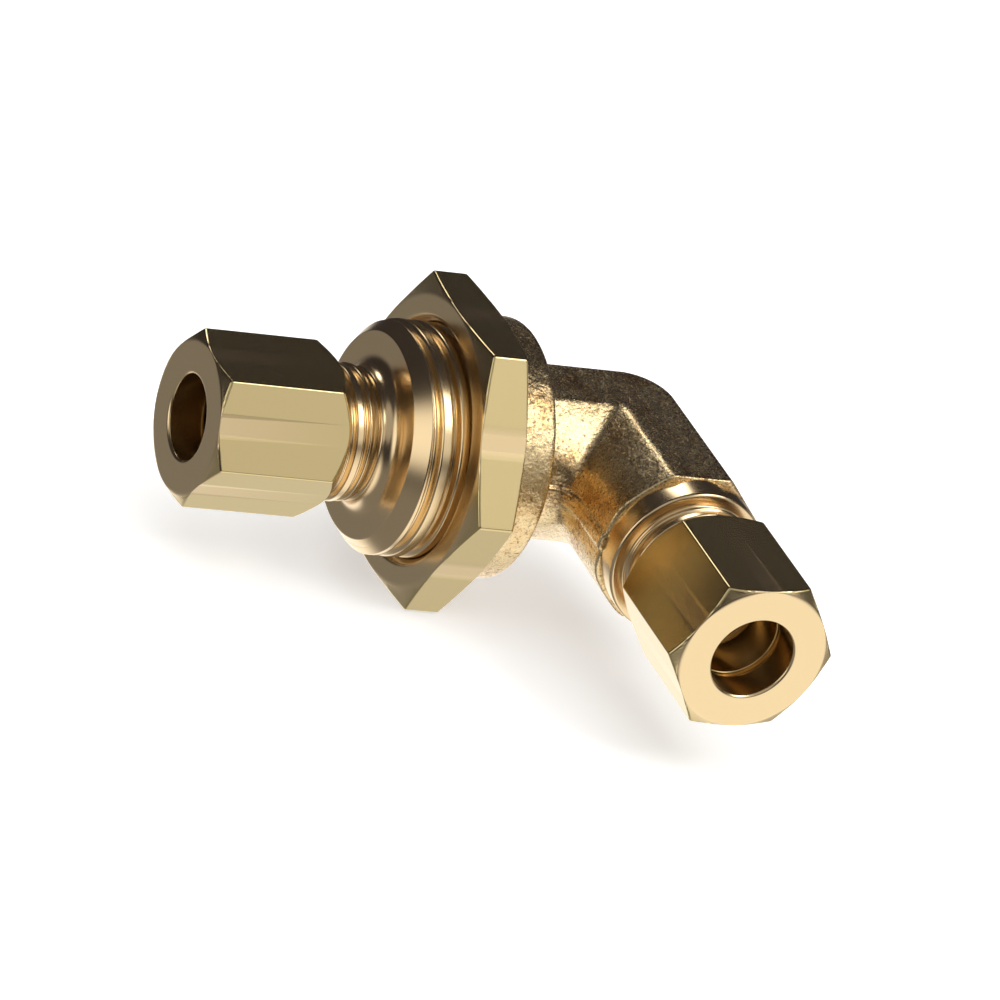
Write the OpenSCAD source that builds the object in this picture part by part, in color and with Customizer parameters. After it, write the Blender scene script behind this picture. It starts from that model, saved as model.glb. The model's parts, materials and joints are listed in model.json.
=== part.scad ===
/* [Tube and tube nuts] */
// bore that takes the tube, diameter
tube_bore_d = 6.1; // [5.9:0.05:6.3]
// tube nut, width across flats
nut_af = 11; // [10.8:0.1:12]
// tube nut, overall length
nut_len = 10.2; // [9.8:0.1:11]
// tube thread, outside diameter
tube_thread_d = 9.9; // [9.7:0.05:10]
// tube thread, pitch
tube_pitch = 1; // [0.8:0.05:1.1]

/* [Bulkhead leg] */
// bulkhead thread, outside diameter
bulk_thread_d = 16.9; // [16:0.1:17.2]
// bulkhead thread, pitch
bulk_pitch = 1.5; // [1:0.25:1.75]
// bulkhead thread, length from the flange to the step
bulk_thread_len = 7.4; // [6.5:0.1:9]
// diameter of the step face at the end of the bulkhead thread
step_d = 14.9; // [14:0.1:15.4]
// length from the step face to the end of the inlet tube thread
stem_a_len = 8.2; // [7.8:0.1:9]

/* [Locknut] */
// locknut, width across flats
lock_af = 21; // [20:0.5:24]
// locknut, thickness
lock_t = 3.6; // [3:0.1:4.2]

/* [Flange] */
// flange, diameter
flange_d = 18.8; // [18.2:0.1:20]
// flange, thickness
flange_t = 3; // [2:0.1:3.2]

/* [Elbow block] */
// elbow block, width across flats of its eight-sided section
block_af = 11.8; // [11.4:0.1:12.4]
// distance from the elbow centre to the back of the flange
block_a_len = 9.6; // [9:0.1:12]
// distance from the elbow centre to the turned neck of the outlet leg
block_b_len = 12.2; // [11:0.1:13]
// radius of the bend's outer face
outer_r = 6.5; // [6.3:0.1:7.2]
// rounding of the inner corner
inner_r = 2; // [1.5:0.1:3]
// flow bore, diameter
flow_d = 4.5; // [3.5:0.1:4.8]
// height of the trimmed parting seam above the block
seam_h = 0.3; // [0.1:0.05:0.4]
// width of the trimmed parting seam
seam_w = 1; // [0.6:0.1:1.6]

/* [Outlet leg] */
// turned neck, diameter
neck_d = 11.6; // [11.2:0.1:11.7]
// turned neck, length
neck_len = 2; // [1:0.1:2.2]
// distance from the elbow centre to the end of the outlet tube thread
stem_b_end = 20.7; // [20.5:0.1:22]

/* [Hidden] */
$fn = 96;

brass = [0.78, 0.62, 0.34];
brass_body = [0.74, 0.57, 0.31];
brass_ferrule = [0.84, 0.7, 0.42];

// distances along the bulkhead leg, from the elbow centre
flange_front = block_a_len + flange_t;
step_at = flange_front + bulk_thread_len;
stem_a_end = step_at + stem_a_len;
lock_gap = 0.02;
lock_back = flange_front + lock_gap;
lock_front = lock_back + lock_t;
// the origin lies on the bulkhead axis where the thread leaves the locknut
elbow_x = lock_front;

tube_bore_r = tube_bore_d / 2;
tube_r = tube_thread_d / 2;
bulk_r = bulk_thread_d / 2;
flow_r = flow_d / 2;
outlet_flow_r = flow_r - 0.1;
drill_past_a = 1.6;
drill_past_b = 1.4;
drill_half_angle = 59;
// half widths of thread crest and root and groove depth, as shares of the pitch
thread_crest = 0.25;
thread_root = 0.05;
thread_depth_k = (0.5 - thread_crest - thread_root) * tan(60);
fit_gap = 0.05;

// socket, seat and ferrule, measured from the end of a stem
socket_depth = 4.6;
seat_slope = 0.577;
seat_depth = 1.3;
seat_r = tube_bore_r + seat_depth * seat_slope;
tip_chamfer = 0.5;
ferrule_r = 4.05;
ferrule_gap = 0.03;
ferrule_tip_r = 3.35;
ferrule_back_r = 3.5;
ferrule_full = (ferrule_r - seat_r + ferrule_gap) / seat_slope;
ferrule_tip = ferrule_full - (ferrule_r - ferrule_tip_r) / seat_slope;
nut_bore_len = 2.6;
nut_front_at = 5.85;
nut_cone_r = 4.4;
nut_cone_at = nut_front_at - nut_bore_len;
nut_cone_back = nut_cone_at - (nut_cone_r - tube_bore_r);
ferrule_shoulder = nut_cone_at - (ferrule_r - tube_bore_r) - fit_gap;
ferrule_back = ferrule_shoulder + ferrule_r - ferrule_back_r;
nut_back_at = nut_front_at - nut_len;
nut_thread_end = 1.2;
nut_mouth = 0.4;

// corner chamfers of the nuts, and how far each nut is turned about its axis
nut_chamfer_angle = 30;
nut_corner_r = nut_af / sqrt(3);
nut_chamfer = (nut_corner_r - nut_af / 2) * tan(nut_chamfer_angle);
nut_back_face_r = nut_af / 2 - 0.1;
nut_back_chamfer = nut_corner_r - nut_back_face_r;
nut_turn = -5.4;
nut_b_turn = -25.6;
lock_chamfer_angle = 15;
lock_corner_r = lock_af / sqrt(3);
lock_face_r = 0.99 * lock_af / 2;
lock_chamfer = (lock_corner_r - lock_face_r) * tan(lock_chamfer_angle);
lock_turn = 0.5;
lock_grooves = 2;
lock_groove_depth = 0.45;
lock_mouth = 0.5;

// foot of the inlet stem: a cone, a narrow groove and a plain band; the outlet stem has the band only
plain_r = 4.8;
foot_len = 0.9;
groove_at = 1.08;
groove_len = 0.34;
groove_r = 4.3;
inlet_plain = 1.9;
outlet_plain = 0.4;
bulk_plain = 1;
bulk_relief = 0.92;
bulk_core_r = bulk_r - bulk_relief;
flange_edge = 0.4;
neck_edge = 0.25;
// the outlet end of the block is turned round over this length
turned_len = 1;
turned_r = block_af / 2 + 0.35;
bend_at = block_af / 2 - outer_r;
bend_steps = 6;
bend_lap = 0.2;
// cutters run past what they cut by over, and cut is longer than the whole part
over = 1;
cut = 60;
eps = 0.01;

// sends a shape drawn along +Z from the elbow centre down the bulkhead leg (-X)
module on_leg_a() {
    translate([elbow_x, 0, 0])
        rotate([0, -90, 0])
            children();
}

// sends a shape drawn along +Z from the elbow centre down the outlet leg (-Y)
module on_leg_b() {
    translate([elbow_x, 0, 0])
        rotate([90, 0, 0])
            children();
}

// ring grooves at the thread's pitch, as a list of [radius, height] points from low to high
function thread_points(r, pitch, low, high) =
    let (turns = floor((high - low) / pitch), depth = thread_depth_k * pitch,
         crest = thread_crest * pitch, root = thread_root * pitch)
    [for (i = [0 : turns - 1])
        let (z = low + i * pitch, mid = z + pitch / 2)
        each [[r, z], [r, z + crest], [r - depth, mid - root], [r - depth, mid + root],
              [r, z + pitch - crest]]];

module thread_body(r, pitch, low, high, tip_r, tip_len) {
    top = high - tip_len;
    turns = floor((top - low) / pitch);
    points = concat([[r, low]], thread_points(r, pitch, top - turns * pitch, top));
    rotate_extrude()
        polygon(concat([[0, low]], points, [[r, top]], [[tip_r, high], [0, high]]));
}

module socket(end_at) {
    translate([0, 0, end_at - socket_depth])
        cylinder(h = socket_depth + over, r = tube_bore_r);
    translate([0, 0, end_at - seat_depth])
        cylinder(h = seat_depth + eps, r1 = tube_bore_r, r2 = seat_r + eps * seat_slope);
}

// drilled from the end of a stem to a little past the other leg's axis
module flow_bore(end_at, r, past) {
    drill_tip = r / tan(drill_half_angle);
    high = end_at - socket_depth + over;
    rotate_extrude()
        polygon([[0, -past - drill_tip], [r, -past], [r, high], [0, high]]);
}

module block_section() {
    rotate(22.5)
        circle(r = block_af / 2 / cos(22.5), $fn = 8);
}

// straight bar of the block's section, from the start of the bend to reach
module leg_bar(reach) {
    translate([0, 0, -bend_at])
        linear_extrude(reach + bend_at)
            block_section();
}

// the four outer corners of the block's section, turned about the bend's axis and shifted
function bend_ring(angle, shift) =
    let (reach = block_af / 2 - eps, half_flat = reach * tan(22.5),
         corner_r = half_flat - bend_at, wall_r = reach - bend_at)
    [for (p = [[corner_r, -reach], [wall_r, -half_flat], [wall_r, half_flat], [corner_r, reach]])
        [p[0] * cos(angle) + shift[0], p[0] * sin(angle) + shift[1], p[1]]];

// the outer side of the block goes through the right angle in flats, its ends inside the two bars
module bend() {
    last = bend_steps + 2;
    reach = block_af / 2 - eps;
    middle = [for (i = [0 : bend_steps]) each bend_ring(90 * i / bend_steps, [0, 0])];
    points = concat([[-bend_lap, -bend_lap, -reach], [-bend_lap, -bend_lap, reach]],
                    bend_ring(0, [0, -bend_lap]), middle, bend_ring(90, [-bend_lap, 0]));
    under = concat([0], [for (i = [0 : last]) 2 + 4 * i]);
    above = concat([1], [for (i = [last : -1 : 0]) 5 + 4 * i]);
    end = 2 + 4 * last;
    walls = [for (i = [0 : last - 1], j = [0 : 2])
        let (k = 2 + 4 * i + j) [k, k + 1, k + 5, k + 4]];
    ends = [[0, 1, 5, 4, 3, 2], [0, end, end + 1, end + 2, end + 3, 1]];
    translate([bend_at, bend_at, 0])
        polyhedron(points, concat([under, above], walls, ends));
}

module elbow_block() {
    rotate([0, -90, 0])
        leg_bar(block_a_len);
    rotate([90, 0, 0])
        intersection() {
            leg_bar(block_b_len);
            turned_end();
        }
    bend();
    inner_fillet();
    parting_seam();
}

// a 45 degree cone takes the corners off the outlet end of the block
module turned_end() {
    start = block_b_len - turned_len;
    translate([0, 0, -cut])
        cylinder(h = cut + start, r = turned_r + turned_len);
    translate([0, 0, start - eps])
        cylinder(h = turned_len + eps, r1 = turned_r + turned_len, r2 = turned_r);
}

module parting_seam() {
    reach = block_af / 2;
    out = reach + seam_h;
    r = outer_r + seam_h;
    inner = inner_r - seam_h;
    end_b = block_b_len - turned_len;
    translate([0, 0, -seam_w / 2])
        linear_extrude(seam_w)
            difference() {
                union() {
                    translate([-block_a_len, -out])
                        square([block_a_len + bend_at, 2 * out]);
                    translate([-out, -end_b])
                        square([2 * out, end_b + bend_at]);
                    translate([bend_at, bend_at])
                        intersection() {
                            circle(r = r);
                            square([r, r]);
                        }
                    translate([-out - inner, -out - inner])
                        square([inner + over, inner + over]);
                }
                translate([-out - inner, -out - inner])
                    circle(r = inner);
            }
}

module inner_fillet() {
    reach = block_af / 2;
    half = reach * tan(22.5);
    translate([0, 0, -half])
        linear_extrude(2 * half)
            difference() {
                translate([-reach - inner_r, -reach - inner_r])
                    square([inner_r + over, inner_r + over]);
                translate([-reach - inner_r, -reach - inner_r])
                    circle(r = inner_r);
            }
}

module flange() {
    front = flange_front;
    r = flange_d / 2;
    rotate_extrude()
        polygon([[0, block_a_len], [r - flange_edge, block_a_len], [r, block_a_len + flange_edge],
                 [r, front - flange_edge], [r - flange_edge, front], [0, front]]);
}

module bulkhead_stem() {
    tip = bulk_r - step_d / 2;
    low = flange_front + bulk_plain;
    translate([0, 0, flange_front - eps])
        cylinder(h = bulk_plain + 2 * eps, r = bulk_core_r);
    thread_body(bulk_r, bulk_pitch, low, step_at, step_d / 2, tip);
}

module inlet_foot() {
    groove_end = groove_at + groove_len;
    translate([0, 0, step_at])
        rotate_extrude()
            polygon([[0, -eps], [plain_r + foot_len + eps, -eps], [plain_r, foot_len], [plain_r, groove_at],
                     [groove_r, groove_at], [groove_r, groove_end], [plain_r, groove_end],
                     [plain_r, inlet_plain + eps], [0, inlet_plain + eps]]);
}

module outlet_foot(base_at) {
    translate([0, 0, base_at - eps])
        cylinder(h = outlet_plain + 2 * eps, r = plain_r);
}

module tube_thread(low, end_at) {
    thread_body(tube_r, tube_pitch, low, end_at, tube_r - tip_chamfer, tip_chamfer);
}

module neck() {
    r = neck_d / 2;
    start = block_b_len - turned_len;
    end = block_b_len + neck_len;
    rotate_extrude()
        polygon([[0, start], [r, start], [r, end - neck_edge], [r - neck_edge, end], [0, end]]);
}

module elbow_body() {
    color(brass_body)
        difference() {
            union() {
                translate([elbow_x, 0, 0])
                    elbow_block();
                on_leg_a() {
                    flange();
                    bulkhead_stem();
                    inlet_foot();
                    tube_thread(step_at + inlet_plain, stem_a_end);
                }
                on_leg_b() {
                    neck();
                    outlet_foot(block_b_len + neck_len);
                    tube_thread(block_b_len + neck_len + outlet_plain, stem_b_end);
                }
            }
            on_leg_a() {
                socket(stem_a_end);
                flow_bore(stem_a_end, flow_r, drill_past_a);
            }
            on_leg_b() {
                socket(stem_b_end);
                flow_bore(stem_b_end, outlet_flow_r, drill_past_b);
            }
        }
}

// six-sided bar between two heights with its corners turned off at both ends
module hex_bar(af, low, high, low_r, low_drop, high_r, high_drop) {
    corner = af / sqrt(3);
    intersection() {
        translate([0, 0, low])
            rotate(30)
                cylinder(h = high - low, r = corner, $fn = 6);
        rotate_extrude()
            polygon([[0, low], [low_r, low], [corner + eps, low + low_drop],
                     [corner + eps, high - high_drop], [high_r, high], [0, high]]);
    }
}

module bulkhead_locknut() {
    inside_r = bulk_r + fit_gap;
    mouth_r = inside_r + lock_mouth;
    low = lock_back + lock_mouth;
    high = lock_front - lock_mouth;
    groove = 2 * lock_groove_depth;
    land = (high - low - lock_grooves * groove) / (lock_grooves + 1);
    color(brass)
        on_leg_a()
            rotate(lock_turn)
                difference() {
                    hex_bar(lock_af, lock_back, lock_front, lock_face_r, lock_chamfer,
                            lock_face_r, lock_chamfer);
                    rotate_extrude()
                        polygon(concat(
                            [[0, lock_back - over], [mouth_r, lock_back - over],
                             [mouth_r, lock_back], [inside_r, low]],
                            [for (i = [1 : lock_grooves])
                                let (z = low + i * land + (i - 1) * groove)
                                each [[inside_r, z], [inside_r + groove / 2, z + groove / 2],
                                      [inside_r, z + groove]]],
                            [[inside_r, high], [mouth_r, lock_front],
                             [mouth_r, lock_front + over], [0, lock_front + over]]));
                }
}

// tube nut drawn along +Z, its zero at the end of the stem it screws on
module tube_nut(turn) {
    thread_r = tube_r + fit_gap;
    mouth_r = thread_r + nut_mouth;
    rotate(turn)
        difference() {
            hex_bar(nut_af, nut_back_at, nut_front_at, nut_back_face_r, nut_back_chamfer,
                    nut_af / 2, nut_chamfer);
            rotate_extrude()
                polygon([[0, nut_back_at - over], [mouth_r, nut_back_at - over],
                         [mouth_r, nut_back_at], [thread_r, nut_back_at + nut_mouth],
                         [thread_r, nut_thread_end], [nut_cone_r, nut_thread_end],
                         [nut_cone_r, nut_cone_back], [tube_bore_r, nut_cone_at],
                         [tube_bore_r, nut_front_at + over], [0, nut_front_at + over]]);
        }
}

// double-coned ring drawn along +Z, its zero at the end of the stem it seats in
module ferrule() {
    rotate_extrude()
        polygon([[tube_bore_r, ferrule_tip], [ferrule_tip_r, ferrule_tip], [ferrule_r, ferrule_full],
                 [ferrule_r, ferrule_shoulder], [ferrule_back_r, ferrule_back],
                 [tube_bore_r, ferrule_back]]);
}

module ferrule_a() {
    color(brass_ferrule)
        on_leg_a()
            translate([0, 0, stem_a_end])
                ferrule();
}

module tube_nut_a() {
    color(brass)
        on_leg_a()
            translate([0, 0, stem_a_end])
                tube_nut(nut_turn);
}

module ferrule_b() {
    color(brass_ferrule)
        on_leg_b()
            translate([0, 0, stem_b_end])
                ferrule();
}

module tube_nut_b() {
    color(brass)
        on_leg_b()
            translate([0, 0, stem_b_end])
                tube_nut(nut_b_turn);
}

elbow_body();
bulkhead_locknut();
ferrule_a();
tube_nut_a();
ferrule_b();
tube_nut_b();
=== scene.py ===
"""Looks of a brass bulkhead compression elbow: forged body, turned stems, locknut, tube nuts, ferrules."""

import json
import math

import bmesh
import bpy
from mathutils import Matrix, Vector


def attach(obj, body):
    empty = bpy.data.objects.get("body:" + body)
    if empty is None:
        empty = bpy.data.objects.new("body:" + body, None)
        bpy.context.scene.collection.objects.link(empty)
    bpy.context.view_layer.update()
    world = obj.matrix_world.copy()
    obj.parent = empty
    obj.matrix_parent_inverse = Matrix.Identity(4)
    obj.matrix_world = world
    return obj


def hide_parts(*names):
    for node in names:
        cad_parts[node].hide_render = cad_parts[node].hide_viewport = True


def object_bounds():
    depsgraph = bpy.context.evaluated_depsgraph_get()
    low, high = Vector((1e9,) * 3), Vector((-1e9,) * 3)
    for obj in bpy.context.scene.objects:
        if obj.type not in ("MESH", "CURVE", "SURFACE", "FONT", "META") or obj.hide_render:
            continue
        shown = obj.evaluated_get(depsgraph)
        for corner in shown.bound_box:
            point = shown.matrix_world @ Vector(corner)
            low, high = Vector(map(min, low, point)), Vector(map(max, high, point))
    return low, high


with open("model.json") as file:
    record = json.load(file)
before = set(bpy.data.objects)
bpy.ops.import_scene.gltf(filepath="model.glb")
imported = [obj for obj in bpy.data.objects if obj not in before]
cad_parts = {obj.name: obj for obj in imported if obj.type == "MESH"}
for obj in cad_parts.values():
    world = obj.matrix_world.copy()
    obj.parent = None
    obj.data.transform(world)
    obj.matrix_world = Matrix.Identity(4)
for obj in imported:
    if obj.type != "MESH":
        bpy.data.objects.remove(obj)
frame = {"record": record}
cad_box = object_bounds()

MM = 0.001
TAU = math.tau
EPS = 1e-4
SQUARE_SLOPE = math.sqrt(0.5)
mounts = {m["name"]: m for m in frame["record"]["mounts"]}
ELBOW = Vector((mounts["tube_port_b"]["pos_m"][0], 0, 0))

# legs are drawn along +Z from the elbow centre, in mm, then laid along -X or -Y
LEG_A = Matrix.Translation(ELBOW) @ Matrix(((0, 0, -1, 0), (0, 1, 0, 0), (1, 0, 0, 0), (0, 0, 0, 1)))
LEG_B = Matrix.Translation(ELBOW) @ Matrix(((1, 0, 0, 0), (0, 0, -1, 0), (0, 1, 0, 0), (0, 0, 0, 1)))

# forged block and flange: sizes, how much each meeting of two walls is softened, and the mesh's grain
BLOCK_AF = 11.8
OUTER_R = 6.5
INNER_R = 2.0
FORGING_GRAIN = 0.15
FORGING_MARGIN = 0.5
CROWN_R = 16.0
CROWN_RISE = 0.15
CREASE_SOFT = 0.8
EDGE_SOFT = 0.25
SEAM_H = 0.3
SEAM_W = 1.2
TURNED_PAST = 0.35
BLOCK_A = 9.6
BLOCK_IN_FLANGE = 0.6
BLOCK_B = 12.2
FLANGE_FRONT = 12.6
FLANGE_R = 9.4
FLOW_A = 2.25
FLOW_B = 2.15
DRILL_PAST_A = 1.6
DRILL_PAST_B = 1.4

# bulkhead thread and its core
BULK_R = 8.45
BULK_PITCH = 1.5
BULK_CORE = 7.53
BULK_START = 13.6
BULK_STEP = 0.0625
STEP_AT = 20.0
STEP_R = 7.45

# tube stems, the same on both legs
THREAD_R = 4.95
THREAD_PITCH = 1.0
THREAD_STEP = 0.05
THREAD_REACH = 0.8
GROOVE_R = 4.3
PLAIN_R = 4.78
GROOVE_LOW = 1.08
GROOVE_HIGH = 1.42
THREAD_DEPTH = 0.38
THREAD_CREST = 0.46
THREAD_ROOT = 0.12
TIP_CHAMFER = 0.5
SOCKET_DEPTH = 4.6
SEAT_DEPTH = 1.3
SEAT_R = 3.8
TUBE_R = 3.05
STEM_A_END = 28.2
NECK_R = 5.8
NECK_END = 14.2
NECK_EDGE = 0.25
STEM_B_END = 20.7

# nuts and ferrules
NUT_AF = 11.0
NUT_FRONT = 5.85
NUT_LEN = 10.2
NUT_NOSE = 2.6
NUT_RECESS_R = 4.4
NUT_RECESS = 1.2
NUT_MOUTH = 0.4
NUT_SOFT = 0.12
NUT_A_TURN = 24.6
NUT_B_TURN = 4.4
LOCK_AF = 21.0
LOCK_LOW = 12.62
LOCK_HIGH = 16.22
LOCK_TURN = 30.5
LOCK_MOUTH = 0.45
LOCK_THREAD_DEPTH = 0.4
BORE_GAP = 0.06
FERRULE_R = 4.04
FERRULE_TIP_R = 3.34
FERRULE_BACK_R = 3.5
FERRULE_LOW = -0.72
FERRULE_HIGH = 2.74


# ---------------------------------------------------------------- writing node trees
class Value:
    """An output socket that arithmetic can be written on."""

    def __init__(self, sheet, socket):
        self.sheet, self.socket = sheet, socket

    def math(self, operation, *others):
        return self.sheet.node("ShaderNodeMath", {"operation": operation}, self, *others)

    def __add__(self, other):
        return self.math("ADD", other)

    def __mul__(self, other):
        return self.math("MULTIPLY", other)

    def __sub__(self, other):
        return self.math("SUBTRACT", other)

    def __rsub__(self, other):
        return self.sheet.node("ShaderNodeMath", {"operation": "SUBTRACT"}, other, self)

    def __truediv__(self, other):
        return self.math("DIVIDE", other)

    def __neg__(self):
        return self * -1.0

    __radd__ = __add__
    __rmul__ = __mul__

    def clamp(self):
        return self.sheet.node("ShaderNodeMath", {"operation": "ADD", "use_clamp": True}, self, 0.0)


class Sheet:
    """A node tree and the one way nodes are put on it."""

    def __init__(self, tree):
        self.tree = tree

    def node(self, kind, settings=None, *inputs, out=0, **named):
        made = self.tree.nodes.new(kind)
        for key, value in (settings or {}).items():
            setattr(made, key, value)
        for i, value in enumerate(inputs):
            self.feed(made.inputs[i], value)
        for key, value in named.items():
            self.feed(made.inputs[key.replace("_", " ")], value)
        return Value(self, made.outputs[out])

    def feed(self, socket, value):
        if isinstance(value, Value):
            self.tree.links.new(value.socket, socket)
        elif value is not None:
            socket.default_value = value

    def split(self, place):
        """The three coordinates of a position."""
        parts = self.node("ShaderNodeSeparateXYZ", None, place).socket.node.outputs
        return [Value(self, part) for part in parts]

    def chosen(self, operation, values, *soft):
        """One value out of several, by a Math operation on two at a time."""
        best = values[0]
        for value in values[1:]:
            best = self.node("ShaderNodeMath", {"operation": operation}, best, value, *soft)
        return best

    def biggest(self, *values):
        return self.chosen("MAXIMUM", values)

    def smallest(self, *values):
        return self.chosen("MINIMUM", values)

    def soft_max(self, soft, *values):
        return self.chosen("SMOOTH_MAX", values, soft)

    def soft_min(self, soft, *values):
        return self.chosen("SMOOTH_MIN", values, soft)

    def length(self, a, b):
        return (a * a + b * b).math("SQRT")

    def round_corner(self, a, b, r):
        """Outside distance of two walls that meet in an outer corner of radius r."""
        past = self.length(self.biggest(a + r, 0.0), self.biggest(b + r, 0.0))
        return self.smallest(self.biggest(a, b), -r) + past

    def round_nook(self, a, b, r):
        """Outside distance of two walls that meet in an inner corner of radius r."""
        short = self.length(self.biggest(r - a, 0.0), self.biggest(r - b, 0.0))
        return self.biggest(self.smallest(a, b), r) - short


def geometry_sheet(name, sizes):
    """A geometry tree with a Geometry input and named sizes. Returns its sheet and its inputs."""
    tree = bpy.data.node_groups.new(name, "GeometryNodeTree")
    face = tree.interface
    face.new_socket("Geometry", in_out="INPUT", socket_type="NodeSocketGeometry")
    face.new_socket("Geometry", in_out="OUTPUT", socket_type="NodeSocketGeometry")
    for label in sizes:
        face.new_socket(label, in_out="INPUT", socket_type="NodeSocketFloat")
    sheet = Sheet(tree)
    entry = tree.nodes.new("NodeGroupInput")
    return sheet, {s.name: Value(sheet, s) for s in entry.outputs if s.name}


def close_tree(sheet, shape, material):
    """Ends a geometry tree in Realize Instances and Set Material."""
    shape = sheet.node("GeometryNodeRealizeInstances", None, shape)
    shape = sheet.node("GeometryNodeSetMaterial", None, shape, Material=material)
    exit_node = sheet.tree.nodes.new("NodeGroupOutput")
    sheet.tree.links.new(shape.socket, exit_node.inputs[0])


def add_rule(obj, sheet, sizes):
    """Puts a geometry tree on an object with its sizes set."""
    rule = obj.modifiers.new(sheet.tree.name, "NODES")
    rule.node_group = sheet.tree
    for item in sheet.tree.interface.items_tree:
        if item.in_out == "INPUT" and item.name in sizes:
            rule[item.identifier] = sizes[item.name]


def set_plain(obj):
    """Turns an object's evaluated shape into its own plain mesh."""
    bpy.context.view_layer.update()
    evaluated = obj.evaluated_get(bpy.context.evaluated_depsgraph_get())
    shape = bpy.data.meshes.new_from_object(evaluated)
    obj.modifiers.clear()
    obj.data = shape
    return obj


def new_object(name, mesh):
    obj = bpy.data.objects.new(name, mesh)
    bpy.context.scene.collection.objects.link(obj)
    return obj


# ---------------------------------------------------------------- shapes of revolution and hexagons
def softened(points, radius):
    """A closed outline with each corner rounded by three points and held by one beyond each side."""
    out = []
    count = len(points)
    for i, here in enumerate(points):
        here = Vector(here)
        back, ahead = Vector(points[i - 1]) - here, Vector(points[(i + 1) % count]) - here
        e = min(radius, 0.3 * back.length, 0.3 * ahead.length)
        back, ahead = back.normalized() * e, ahead.normalized() * e
        out += [here + back * 1.6, here + back, here + (back + ahead) * 0.27]
        out += [here + ahead, here + ahead * 1.6]
    return out


def rows(start, end, step):
    """Evenly spaced points from start to end, no further apart than step."""
    start, end = Vector(start), Vector(end)
    count = max(1, math.ceil((end - start).length / step))
    return [start.lerp(end, i / count) for i in range(1, count)]


def ring_mesh(name, outline_at, angles, material, place):
    """Closed mesh, drawn along Z, from one closed outline of radius and height for each angle."""
    outlines = [outline_at(a) for a in angles]
    points = len(outlines[0])
    on_leg = [
        Vector((r * math.cos(a), r * math.sin(a), z))
        for a, line in zip(angles, outlines)
        for r, z in line
    ]
    faces = []
    for i in range(len(angles)):
        j = (i + 1) % len(angles)
        for k in range(points):
            m = (k + 1) % points
            faces.append((i * points + k, i * points + m, j * points + m, j * points + k))
    mesh = bpy.data.meshes.new(name)
    mesh.from_pydata(on_leg, [], faces)
    mesh.materials.append(material)
    obj = new_object(name, mesh)
    obj["place"] = [v for row in place for v in row]
    return obj


def lathe(name, outline, count, material, place):
    """A solid of revolution from one closed outline."""
    angles = [TAU * i / count for i in range(count)]
    return ring_mesh(name, lambda angle: outline, angles, material, place)


def settle(obj, turned=None):
    """Fixes the outward side, keeps the drawn position as an attribute, and lays the piece on its leg."""
    work = bmesh.new()
    work.from_mesh(obj.data)
    bmesh.ops.recalc_face_normals(work, faces=work.faces)
    work.to_mesh(obj.data)
    work.free()
    mesh = obj.data
    mesh.update()
    drawn = mesh.attributes.new("on_leg", "FLOAT_VECTOR", "POINT")
    mask = mesh.attributes.new("turned", "FLOAT", "POINT")
    for i, vertex in enumerate(mesh.vertices):
        drawn.data[i].vector = vertex.co
        mask.data[i].value = turned(vertex) if turned else 1.0
    flat = list(obj["place"])
    del obj["place"]
    place = Matrix([flat[i : i + 4] for i in range(0, 16, 4)])
    mesh.transform(place @ Matrix.Scale(MM, 4))
    for face in mesh.polygons:
        face.use_smooth = True
    return obj


# ---------------------------------------------------------------- thread cutting
THREAD_SIZES = ("Pitch", "Depth", "Radius", "Low", "High", "Reach", "Inside")


def thread_rule(material):
    """Cuts a helical V thread about Z into each surface near a radius and between two heights.

    Inside is 0 for a thread on the outside of a stem and 1 for one in a bore.
    """
    sheet, sizes = geometry_sheet("cut_thread", THREAD_SIZES)
    x, y, z = sheet.split(sheet.node("GeometryNodeInputPosition"))
    r = sheet.length(x, y)
    turn = sheet.node("ShaderNodeMath", {"operation": "ARCTAN2"}, y, x) / TAU
    phase = (z / sizes["Pitch"] - turn).math("FRACT")
    wave = (phase - 0.5).math("ABSOLUTE") * 2.0
    flank = ((wave - THREAD_ROOT) / (1.0 - THREAD_CREST - THREAD_ROOT)).clamp()
    soft = sheet.node("ShaderNodeMapRange", {"interpolation_type": "SMOOTHSTEP"}, flank)
    flank = flank * 0.55 + soft * 0.45
    fade_in = ((z - sizes["Low"]) / (sizes["Pitch"] * 0.6)).clamp()
    cut = (1.0 - flank) * sizes["Depth"] * fade_in
    outside = sheet.smallest(r, sizes["Radius"] - cut)
    inside = sheet.biggest(r, sizes["Radius"] + cut)
    new_r = outside + (inside - outside) * sizes["Inside"]
    scale = new_r / r
    moved = sheet.node("ShaderNodeCombineXYZ", None, x * scale, y * scale, z)
    above = sheet.node("ShaderNodeMath", {"operation": "GREATER_THAN"}, z, sizes["Low"])
    below = sheet.node("ShaderNodeMath", {"operation": "LESS_THAN"}, z, sizes["High"])
    near = (r - sizes["Radius"]).math("ABSOLUTE")
    near = sheet.node("ShaderNodeMath", {"operation": "LESS_THAN"}, near, sizes["Reach"])
    chosen = sheet.node("FunctionNodeCompare", {"data_type": "FLOAT"}, above * below * near, 0.5)
    shape = sheet.node("GeometryNodeSetPosition", None, sizes["Geometry"], chosen, moved)
    close_tree(sheet, shape, material)
    return sheet


# ---------------------------------------------------------------- forged block and flange
FORGING_SIZES = {
    "Across flats": BLOCK_AF,
    "Outer radius": OUTER_R,
    "Inner radius": INNER_R,
    "Seam height": SEAM_H,
    "Seam width": SEAM_W,
    "Edge": EDGE_SOFT,
    "Crease": CREASE_SOFT,
    "Crown": CROWN_R,
}


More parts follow.
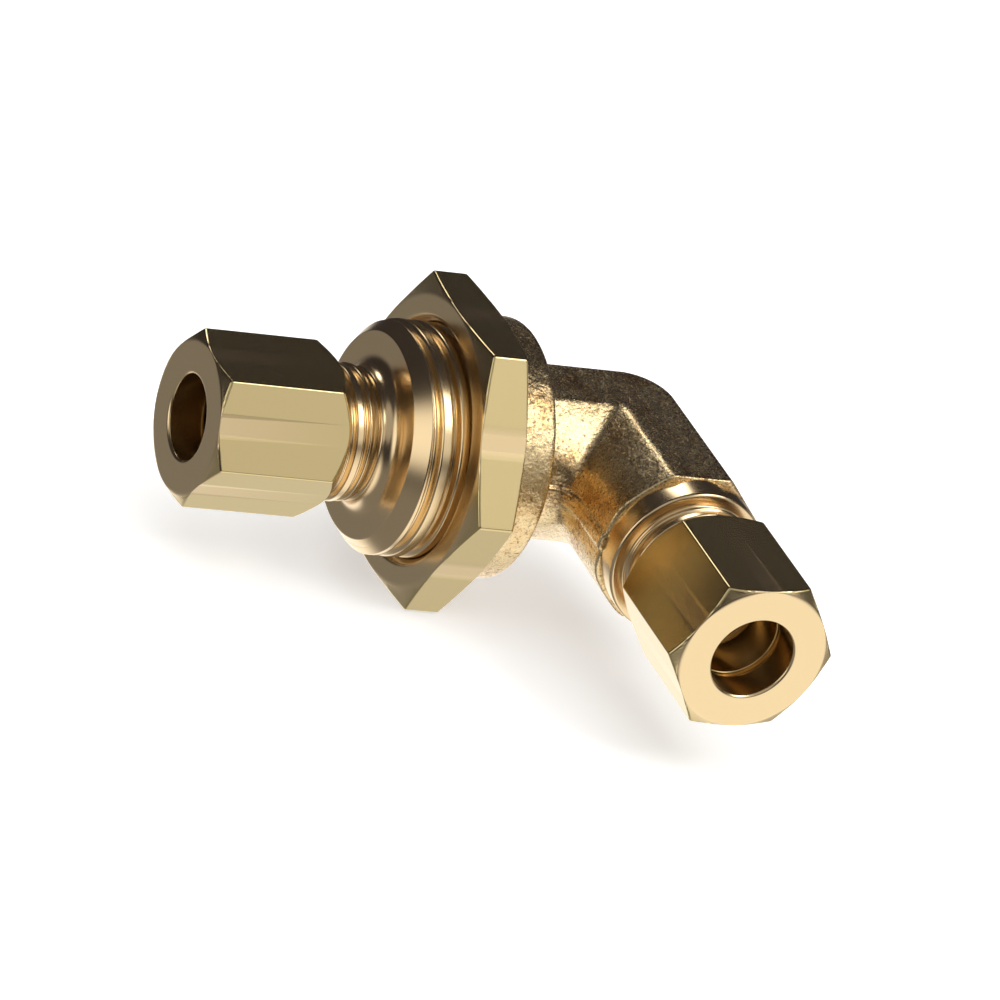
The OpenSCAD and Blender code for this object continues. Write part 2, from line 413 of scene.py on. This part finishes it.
def forging_rule(material):
    """Octagonal bar bent through a right angle, with a raised parting seam and a round flange, in mm.

    Every wall is a distance that is negative inside the metal. The elbow centre is the origin here.
    """
    sheet, sizes = geometry_sheet("forge_elbow", FORGING_SIZES)
    x, y, z = sheet.split(sheet.node("GeometryNodeInputPosition"))
    half = sizes["Across flats"] * 0.5
    outer = sheet.round_corner(x - half, y - half, sizes["Outer radius"])
    inner = sheet.round_nook(-x - half, -y - half, sizes["Inner radius"])
    high = z.math("ABSOLUTE")
    sunk = sizes["Crown"] * SQUARE_SLOPE - (half + CROWN_RISE) * SQUARE_SLOPE
    crown_a = sheet.length(sunk - y, high + sunk) - sizes["Crown"]
    crown_b = sheet.length(sunk - x, high + sunk) - sizes["Crown"]
    inner = sheet.soft_max(1.2, inner, sheet.soft_min(sizes["Crease"], crown_a, crown_b))
    bevel = (outer + half + high) * SQUARE_SLOPE - half
    block = sheet.soft_max(sizes["Edge"], outer, inner, high - half, bevel)
    raised = sizes["Seam height"]
    seam = sheet.soft_max(0.1, outer - raised, inner - raised, high - sizes["Seam width"] * 0.5)
    block = sheet.soft_min(0.25, block, seam)
    across_b = sheet.length(x, z)
    along_b = -y
    turned = (across_b + along_b - (BLOCK_AF / 2 + TURNED_PAST + BLOCK_B)) * SQUARE_SLOPE
    block = sheet.soft_max(0.08, block, along_b - BLOCK_B, turned)
    along_a = -x
    across_a = sheet.length(y, z)
    block = sheet.biggest(block, along_a - (BLOCK_A + BLOCK_IN_FLANGE))
    flange = sheet.soft_max(0.7, across_a - FLANGE_R, along_a - FLANGE_FRONT, BLOCK_A - along_a)
    whole = sheet.soft_min(0.8, block, flange)
    way_a = sheet.biggest(across_a - FLOW_A, -along_a - DRILL_PAST_A)
    way_b = sheet.biggest(across_b - FLOW_B, -along_b - DRILL_PAST_B)
    whole = sheet.biggest(whole, -way_a, -way_b)
    flange_reach = FLANGE_R + FORGING_MARGIN
    low = (-FLANGE_FRONT - FORGING_MARGIN, -BLOCK_B - FORGING_MARGIN, -flange_reach)
    top = (BLOCK_AF / 2 + SEAM_H + FORGING_MARGIN, flange_reach, flange_reach)
    count = [round((b - a) / FORGING_GRAIN) + 1 for a, b in zip(low, top)]
    cloud = sheet.node("GeometryNodeVolumeCube", None, 1.0 - whole, 0.0, low, top, *count)
    skin = sheet.node("GeometryNodeVolumeToMesh", None, cloud, Threshold=1.0)
    skin = sheet.node(
        "GeometryNodeTransform", None, skin, Translation=tuple(ELBOW), Scale=(MM, MM, MM)
    )
    skin = sheet.node("GeometryNodeSetShadeSmooth", None, skin)
    close_tree(sheet, skin, material)
    return sheet


def forged_elbow(material):
    obj = new_object("forged_elbow", bpy.data.meshes.new("forged_elbow"))
    add_rule(obj, forging_rule(material), FORGING_SIZES)
    return set_plain(obj)


# ---------------------------------------------------------------- stems
def tip_outline(base, end, root_r, thread, groove):
    """Outer wall of a tube stem from the fillet at its foot to its tip, then down the seat and socket."""
    shoulder = end - TIP_CHAMFER
    thread_foot = (PLAIN_R + 0.02, thread - 0.3)
    wall = [(PLAIN_R + root_r + 0.1, base), (PLAIN_R + root_r, base)]
    for i in range(1, 10):
        a = math.radians(10 * i)
        wall.append((PLAIN_R + root_r * (1 - math.sin(a)), base + root_r * (1 - math.cos(a))))
    if groove:
        low, high = base + GROOVE_LOW, base + GROOVE_HIGH
        wall += [(PLAIN_R, low), (GROOVE_R + 0.1, low + 0.04), (GROOVE_R, low + 0.12)]
        wall += [(GROOVE_R, high - 0.12), (GROOVE_R + 0.1, high - 0.04), (PLAIN_R, high)]
        wall += [(PLAIN_R + 0.01, high + 0.06)]
    wall += [thread_foot] + rows(thread_foot, (THREAD_R, thread), THREAD_STEP)
    wall += rows((THREAD_R, thread), (THREAD_R, shoulder), THREAD_STEP)
    wall += [(THREAD_R, shoulder)]
    tip_r = THREAD_R - TIP_CHAMFER
    wall += rows((THREAD_R, shoulder), (tip_r, end), 0.06)
    wall += [(tip_r + 0.02, end - 0.02), (tip_r - 0.05, end), (SEAT_R + 0.06, end)]
    wall += [(SEAT_R, end - 0.05), (SEAT_R - 0.1, end - 0.25)]
    seat_end = end - SEAT_DEPTH
    wall += [(TUBE_R + 0.06, seat_end + 0.1), (TUBE_R, seat_end - 0.05), (TUBE_R, seat_end - 0.3)]
    floor = end - SOCKET_DEPTH
    return wall + [(TUBE_R, floor + 0.1), (TUBE_R, floor + 0.02), (TUBE_R - 0.02, floor)]


def flow_mouth(flow_r, end):
    """The edge where a stem's socket floor meets its flow bore."""
    floor = end - SOCKET_DEPTH
    return [(flow_r + 0.05, floor), (flow_r, floor - 0.05)]


def cut_threads(obj, material, *threads):
    """Cuts each thread, given by its THREAD_SIZES, into a piece that is still drawn along Z."""
    tree = bpy.data.node_groups.get("cut_thread")
    sheet = Sheet(tree) if tree else thread_rule(material)
    for thread in threads:
        add_rule(obj, sheet, dict(zip(THREAD_SIZES, thread)))
    set_plain(obj)
    obj.data.materials.clear()
    obj.data.materials.append(material)
    return obj


def tube_thread(low, end):
    depth = THREAD_DEPTH * THREAD_PITCH
    return (THREAD_PITCH, depth, THREAD_R, low, end - EPS, THREAD_REACH, 0.0)


def bulkhead_stem(material):
    inner_base = FLANGE_FRONT - 0.1
    shoulder = STEP_AT - (BULK_R - STEP_R)
    thread_at = BULK_START + 0.5
    outline = [(FLOW_A, inner_base), (BULK_CORE, inner_base), (BULK_CORE, BULK_START)]
    outline += rows((BULK_CORE, BULK_START), (BULK_R, thread_at), 0.1)
    outline += rows((BULK_R, thread_at), (BULK_R, shoulder), BULK_STEP)
    outline += [(BULK_R, shoulder)] + rows((BULK_R, shoulder), (STEP_R, STEP_AT), BULK_STEP)
    outline += [(STEP_R + 0.04, STEP_AT - 0.04), (STEP_R, STEP_AT - EPS / 2), (STEP_R - 0.08, STEP_AT)]
    outline += tip_outline(STEP_AT, STEM_A_END, 1.0, STEP_AT + 2.0, True)
    outline += flow_mouth(FLOW_A, STEM_A_END)
    obj = lathe("bulkhead_stem", outline, 176, material, LEG_A)
    depth = THREAD_DEPTH * BULK_PITCH
    bulk = (BULK_PITCH, depth, BULK_R, BULK_START - 0.2, STEP_AT - EPS, 1.1, 0.0)
    tube = tube_thread(STEP_AT + GROOVE_HIGH + 0.1, STEM_A_END)
    return settle(cut_threads(obj, material, bulk, tube))


def outlet_stem(material):
    inner_base = BLOCK_B - 0.1
    outline = [(FLOW_B, inner_base), (NECK_R, inner_base), (NECK_R, BLOCK_B + 0.1)]
    for i in range(7):
        a = math.radians(15 * i)
        out, up = NECK_EDGE * (math.cos(a) - 1), NECK_EDGE * (math.sin(a) - 1)
        outline.append((NECK_R + out, NECK_END + up))
    outline += tip_outline(NECK_END, STEM_B_END, 0.2, NECK_END + 0.4, False)
    outline += flow_mouth(FLOW_B, STEM_B_END)
    obj = lathe("outlet_stem", outline, 144, material, LEG_B)
    return settle(cut_threads(obj, material, tube_thread(NECK_END + 0.1, STEM_B_END)))


# ---------------------------------------------------------------- nuts
def corner_end(flats, corner):
    """How many degrees from a corner of a hexagon its rounding ends."""
    half = flats / 2
    return 30 - math.degrees(math.atan2((half - corner) * math.tan(math.radians(30)), half))


def hex_radius(angle, flats, corner):
    """Distance to a hexagon's wall with rounded corners, a corner lying at angle 0."""
    half = flats / 2
    from_corner = abs((math.degrees(angle) + 30) % 60 - 30)
    centre = (half - corner) / math.cos(math.radians(30))
    if from_corner >= corner_end(flats, corner):
        return half / math.cos(math.radians(30 - from_corner))
    a = math.radians(from_corner)
    return centre * math.cos(a) + math.sqrt(corner**2 - (centre * math.sin(a)) ** 2)


def hex_angles(flats, corner):
    """Angles round a hexagon, close together at its corners."""
    tangent = corner_end(flats, corner)
    near = [0, tangent * 0.35, tangent * 0.7, tangent, tangent * 1.5, tangent * 2.4]
    far = [near[-1] + (30 - near[-1]) * i / 9 for i in range(1, 10)]
    side = near + far
    sector = [-a for a in reversed(side[1:-1])] + side
    return [math.radians(60 * n + a) for n in range(6) for a in sector]


def hex_nut(name, size, chamfers, bore, turn, corner, place, material):
    """A nut from its hexagon, the radius and angle of each end's chamfer, and its bore, front to back."""
    flats, low, high = size
    (face_r, angle), (back_r, back_angle) = chamfers
    slope, back_slope = math.tan(math.radians(angle)), math.tan(math.radians(back_angle))

    def outline(a):
        r = hex_radius(a - math.radians(turn), flats, corner)
        front = [(face_r, high), (r, high - (r - face_r) * slope)]
        back = [(r, low + (r - back_r) * back_slope), (back_r, low)]
        return softened(front + back + bore[::-1], NUT_SOFT)

    angles = [a + math.radians(turn) for a in hex_angles(flats, corner)]
    return ring_mesh(name, outline, angles, material, place)


def flats_mask(flats, low, high):
    """Gives 0 on a nut's flats and 1 on every turned face."""

    def mask(vertex):
        on_flat = math.hypot(vertex.co.x, vertex.co.y) > flats / 2 - 0.06
        between = low + NUT_SOFT < vertex.co.z < high - NUT_SOFT
        return 0.0 if on_flat and between else 1.0

    return mask


def locknut(material):
    bore_r = BULK_R + BORE_GAP
    top, foot = (bore_r, LOCK_HIGH - LOCK_MOUTH), (bore_r, LOCK_LOW + LOCK_MOUTH)
    bore = [(bore_r + LOCK_MOUTH, LOCK_HIGH), top]
    bore += rows(top, foot, 0.1) + [foot, (bore_r + LOCK_MOUTH, LOCK_LOW)]
    face_r = LOCK_AF / 2 * 0.99
    size = (LOCK_AF, LOCK_LOW, LOCK_HIGH)
    chamfers = ((face_r, 15), (face_r, 15))
    obj = hex_nut("locknut", size, chamfers, bore, LOCK_TURN, 0.22, LEG_A, material)
    thread = (BULK_PITCH, LOCK_THREAD_DEPTH, bore_r, LOCK_LOW + 0.2, LOCK_HIGH - 0.2, 0.2, 1.0)
    return settle(cut_threads(obj, material, thread), flats_mask(*size))


def tube_nut(name, end, turn, place, material):
    """A nut that stands NUT_FRONT past its stem's end and is recessed round the ferrule."""
    high = end + NUT_FRONT
    low = high - NUT_LEN
    cone = high - NUT_NOSE
    bore_r = THREAD_R + BORE_GAP
    back = end + NUT_RECESS
    bore = [
        (TUBE_R + 0.14, high),
        (TUBE_R, high - 0.14),
        (TUBE_R, cone),
        (NUT_RECESS_R, cone - (NUT_RECESS_R - TUBE_R)),
        (NUT_RECESS_R, back),
        (bore_r, back),
        (bore_r, low + NUT_MOUTH),
        (bore_r + NUT_MOUTH, low),
    ]
    size = (NUT_AF, low, high)
    chamfers = ((NUT_AF / 2 - 0.04, 30), (NUT_AF / 2 - 0.1, 45))
    obj = hex_nut(name, size, chamfers, bore, turn, 0.16, place, material)
    return settle(obj, flats_mask(*size))


def ferrule(name, end, place, material):
    """A ring with a long cone in the stem's seat and a short one in the nut."""
    low, high = end + FERRULE_LOW, end + FERRULE_HIGH
    outline = [
        (TUBE_R + 0.01, low),
        (FERRULE_TIP_R, low),
        (FERRULE_R, end + 0.49),
        (FERRULE_R, end + 2.19),
        (FERRULE_BACK_R, high),
        (TUBE_R + 0.01, high),
    ]
    obj = lathe(name, softened(outline, 0.08), 96, material, place)
    return settle(obj)


# ---------------------------------------------------------------- brass finishes
def brass(name, build):
    """A brass whose colour, roughness and bump come from build(sheet)."""
    material = bpy.data.materials.new(name)
    material.use_nodes = True
    tree = material.node_tree
    shader = tree.nodes["Principled BSDF"]
    shader.inputs["Metallic"].default_value = 1.0
    sheet = Sheet(tree)
    colour, roughness, height, depth = build(sheet)
    sheet.feed(shader.inputs["Base Color"], colour)
    sheet.feed(shader.inputs["Roughness"], roughness)
    bump = sheet.node("ShaderNodeBump", None, 1.0, depth, Height=height)
    sheet.feed(shader.inputs["Normal"], bump)
    return material


def drawn_at(sheet, scale=(1.0, 1.0, 1.0)):
    """The position a piece was drawn at on its leg, in mm, scaled."""
    place = sheet.node("ShaderNodeAttribute", {"attribute_name": "on_leg"}, out=1)
    return sheet.node("ShaderNodeMapping", {"vector_type": "POINT"}, place, Scale=scale)


def noise(sheet, place, scale, detail=3.0, rough=0.55):
    kind = {"noise_dimensions": "3D"}
    return sheet.node("ShaderNodeTexNoise", kind, place, Scale=scale, Detail=detail, Roughness=rough)


def blend(sheet, share, low, high):
    """One colour going over into another as share goes from 0 to 1."""
    made = sheet.node("ShaderNodeMix", {"data_type": "RGBA"}, share)
    for socket, value in zip([s for s in made.socket.node.inputs if s.type == "RGBA"], (low, high)):
        sheet.feed(socket, value if isinstance(value, Value) else (*value, 1.0))
    return Value(sheet, next(s for s in made.socket.node.outputs if s.type == "RGBA"))


def spread(sheet, value, low, high, to_low=0.0, to_high=1.0):
    """A value's range from low to high laid over another range, held at its ends."""
    return sheet.node("ShaderNodeMapRange", {"clamp": True}, value, low, high, to_low, to_high)


def forged_finish(sheet):
    """Etched orange peel with dark scale left in its pits and brown patches."""
    place = sheet.node("ShaderNodeTexCoord", out=3)
    place = sheet.node("ShaderNodeMapping", None, place, Scale=(1000.0, 1000.0, 1000.0))
    peel = noise(sheet, place, 1.1, 4.0, 0.6)
    grit = noise(sheet, place, 4.2, 4.0, 0.7)
    cloud = noise(sheet, place, 0.3, 3.0, 0.6)
    pits = spread(sheet, grit + (cloud - 0.5) * 0.35, 0.54, 0.66)
    stain = spread(sheet, cloud, 0.46, 0.68)
    colour = blend(sheet, stain, (0.9, 0.7, 0.4), (0.74, 0.49, 0.23))
    colour = blend(sheet, pits * 0.85, colour, (0.13, 0.075, 0.04))
    roughness = spread(sheet, grit, 0.3, 0.7, 0.16, 0.38)
    return colour, roughness, peel * 0.75 + grit * 0.25, 0.00013


def turned_finish(sheet):
    """Fine rings left by the turning tool, with brown stains between them."""
    place = drawn_at(sheet)
    x, y, z = sheet.split(place)
    r = sheet.length(x, y)
    along = sheet.node("ShaderNodeCombineXYZ", None, r * 7.0, z * 7.0, 0.0)
    rings = noise(sheet, along, 1.0, 4.0, 0.75)
    cloud = noise(sheet, drawn_at(sheet, (1.0, 1.0, 2.5)), 0.55, 4.0, 0.65)
    grit = noise(sheet, place, 7.0, 2.0)
    stain = spread(sheet, cloud, 0.42, 0.66)
    colour = blend(sheet, stain, (0.92, 0.74, 0.46), (0.76, 0.5, 0.25))
    colour = blend(sheet, spread(sheet, rings, 0.54, 0.72, 0.0, 0.6), colour, (0.42, 0.25, 0.12))
    roughness = spread(sheet, grit, 0.3, 0.7, 0.16, 0.28)
    return colour, roughness, rings, 0.00004


def bar_finish(sheet):
    """Drawn bar: streaks along the flats, fine rings on the turned faces."""
    place = drawn_at(sheet)
    mask = sheet.node("ShaderNodeAttribute", {"attribute_name": "turned"}, out=2)
    x, y, z = sheet.split(place)
    r = sheet.length(x, y)
    streaks = noise(sheet, drawn_at(sheet, (1.0, 1.0, 0.04)), 4.5, 5.0, 0.8)
    scratch = noise(sheet, drawn_at(sheet, (1.0, 1.0, 0.1)), 11.0, 3.0, 0.7)
    speck = noise(sheet, drawn_at(sheet, (1.0, 1.0, 0.3)), 4.0, 4.0, 0.75)
    around = sheet.node("ShaderNodeCombineXYZ", None, r * 9.0, z * 2.0, 0.0)
    rings = noise(sheet, around, 1.0, 3.0, 0.7)
    cloud = noise(sheet, place, 0.4, 3.0)
    dull = spread(sheet, streaks, 0.4, 0.6)
    spots = spread(sheet, speck, 0.54, 0.68, 0.0, 0.6)
    stain = spread(sheet, cloud, 0.4, 0.75)
    scored = spread(sheet, rings, 0.56, 0.76, 0.0, 0.3)
    flat_colour = blend(sheet, dull, (0.86, 0.71, 0.4), (0.6, 0.46, 0.2))
    flat_colour = blend(sheet, spots, flat_colour, (0.3, 0.2, 0.09))
    face_colour = blend(sheet, stain, (0.9, 0.71, 0.42), (0.78, 0.58, 0.32))
    face_colour = blend(sheet, scored, face_colour, (0.5, 0.33, 0.16))
    colour = blend(sheet, mask, flat_colour, face_colour)
    rough_flat = spread(sheet, streaks, 0.3, 0.7, 0.16, 0.32)
    rough_face = spread(sheet, rings, 0.3, 0.7, 0.2, 0.3)
    roughness = rough_flat + (rough_face - rough_flat) * mask
    height = (streaks * 0.5 + scratch * 0.5) * (1.0 - mask) + rings * mask * 0.4
    return colour, roughness, height, 0.00006


def ferrule_finish(sheet):
    """Bright turned ring."""
    z = sheet.split(drawn_at(sheet))[2]
    rings = noise(sheet, sheet.node("ShaderNodeCombineXYZ", None, z * 12.0, 0.0, 0.0), 1.0)
    colour = blend(sheet, rings, (0.9, 0.72, 0.4), (0.8, 0.58, 0.28))
    return colour, spread(sheet, rings, 0.3, 0.7, 0.18, 0.28), rings, 0.00001


# ---------------------------------------------------------------- the pieces
forged_brass = brass("forged_brass", forged_finish)
turned_brass = brass("turned_brass", turned_finish)
bar_brass = brass("bar_brass", bar_finish)
ferrule_brass = brass("ferrule_brass", ferrule_finish)

for piece in (forged_elbow(forged_brass), bulkhead_stem(turned_brass), outlet_stem(turned_brass)):
    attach(piece, "body")
    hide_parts("elbow_body")

lock_ring = locknut(bar_brass)
inlet_nut = tube_nut("inlet_tube_nut", STEM_A_END, NUT_A_TURN, LEG_A, bar_brass)
outlet_nut = tube_nut("outlet_tube_nut", STEM_B_END, NUT_B_TURN, LEG_B, bar_brass)
inlet_ring = ferrule("inlet_ferrule", STEM_A_END, LEG_A, ferrule_brass)
outlet_ring = ferrule("outlet_ferrule", STEM_B_END, LEG_B, ferrule_brass)

for piece, body, node, slot in (
    (lock_ring, "locknut", "bulkhead_locknut", "bar_brass"),
    (inlet_nut, "nut_a", "tube_nut_a", "bar_brass"),
    (outlet_nut, "nut_b", "tube_nut_b", "bar_brass"),
    (inlet_ring, "ferrule_a", "ferrule_a", "ferrule_brass"),
    (outlet_ring, "ferrule_b", "ferrule_b", "ferrule_brass"),
):
    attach(piece, body)
    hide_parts(node)


# ---------------------------------------------------------------- floor, light and camera
def pale_floor():
    """A wide white floor under the part, which the metal doesn't mirror."""
    low = cad_box[0].z
    reach = 6.0
    mesh = bpy.data.meshes.new("floor")
    corners = [(-reach, -reach, low), (reach, -reach, low), (reach, reach, low), (-reach, reach, low)]
    mesh.from_pydata([Vector(c) for c in corners], [], [(0, 1, 2, 3)])
    material = bpy.data.materials.new("pale_floor")
    material.use_nodes = True
    for label, value in (
        ("Base Color", (0.9, 0.9, 0.9, 1.0)),
        ("Roughness", 0.9),
        ("Specular IOR Level", 0.0),
        ("Emission Color", (1.0, 1.0, 1.0, 1.0)),
        ("Emission Strength", 0.5),
    ):
        material.node_tree.nodes["Principled BSDF"].inputs[label].default_value = value
    mesh.materials.append(material)
    floor = new_object("floor", mesh)
    floor.visible_glossy = False


def softbox(name, toward, size, power, distance):
    """A square light that lies in a direction from the part and faces it, for the floor only."""
    lamp = bpy.data.lights.new(name, "AREA")
    lamp.shape = "RECTANGLE"
    lamp.size, lamp.size_y = size
    lamp.energy = power
    obj = bpy.data.objects.new(name, lamp)
    toward = Vector(toward).normalized()
    obj.location = ELBOW + toward * distance
    obj.rotation_euler = toward.to_track_quat("Z", "Y").to_euler()
    obj.visible_glossy = False
    bpy.context.scene.collection.objects.link(obj)


# what the metal mirrors: direction, degrees to the start and the end of the soft edge, brightness
SOFTBOXES = (
    ((-0.27, -0.58, 0.77), 24, 38, 0.4),
    ((-0.95, -0.25, 0.18), 12, 28, 1.2),
    ((0.46, -0.44, 0.77), 9, 17, 4.7),
    ((0.46, -0.76, 0.45), 10, 22, 0.85),
    ((0.99, 0.06, 0.0), 8, 18, 0.9),
    ((0.04, 0.77, 0.64), 6, 11, 4.4),
    ((0.3, 0.64, -0.71), 16, 40, 1.1),
)
SURROUND = (0.034, 0.031, 0.035)
TABLE = ((0.46, -0.62, -0.63), 18, 52, 0.95)
UNDERGLOW = 0.2


def smooth_spread(sheet, value, low, high, to_low, to_high):
    kind = {"interpolation_type": "SMOOTHSTEP"}
    return sheet.node("ShaderNodeMapRange", kind, value, low, high, to_low, to_high)


def glow(sheet, way, toward, inside, outside, strength):
    """Brightness of one soft-edged round light in a direction from the part."""
    toward = tuple(Vector(toward).normalized())
    lined = sheet.node("ShaderNodeVectorMath", {"operation": "DOT_PRODUCT"}, way, toward, out="Value")
    low, high = math.cos(math.radians(outside)), math.cos(math.radians(inside))
    return smooth_spread(sheet, lined, low, high, 0.0, strength)


def studio():
    """A dark room with soft lights and a bright table for the metal, and a pale backdrop for the camera."""
    softbox("overhead", (0.0, 0.0, 1.0), (3.5, 3.5), 40.0, 2.0)
    world = bpy.data.worlds.new("studio")
    world.use_nodes = True
    sheet = Sheet(world.node_tree)
    way = sheet.node("ShaderNodeTexCoord")
    lit = glow(sheet, way, *TABLE)
    for box in SOFTBOXES:
        lit = lit + glow(sheet, way, *box)
    height = sheet.split(way)[2]
    lit = lit + smooth_spread(sheet, height, -0.5, -0.1, UNDERGLOW, 0.0)
    white = sheet.node("ShaderNodeCombineColor", None, lit, lit * 0.985, lit * 0.95)
    colour = sheet.node("ShaderNodeVectorMath", {"operation": "ADD"}, white, SURROUND)
    seen = sheet.node("ShaderNodeLightPath")
    colour = blend(sheet, seen, colour, (0.93, 0.93, 0.93))
    back = world.node_tree.nodes["Background"]
    sheet.feed(back.inputs["Color"], colour)
    bpy.context.scene.world = world
    bpy.context.scene.view_settings.view_transform = "Standard"


def camera():
    """A long lens in front of the part, to its left and above it, held by its own three axes."""
    right = Vector((0.8834, -0.3531, 0.3081))
    up = Vector((-0.0847, 0.5263, 0.8461))
    back = Vector((-0.4609, -0.7735, 0.4350))
    spot = ELBOW - 0.008172 * right - 0.002938 * up + 0.59066 * back
    lens = bpy.data.cameras.new("camera")
    lens.sensor_width = 36.0
    lens.lens = 295.95
    lens.clip_start, lens.clip_end = 0.01, 50.0
    obj = bpy.data.objects.new("camera", lens)
    bpy.context.scene.collection.objects.link(obj)
    turn = Matrix((right, up, back)).transposed().to_4x4()
    obj.matrix_world = Matrix.Translation(spot) @ turn
    bpy.context.scene.camera = obj


pale_floor()
studio()
camera()
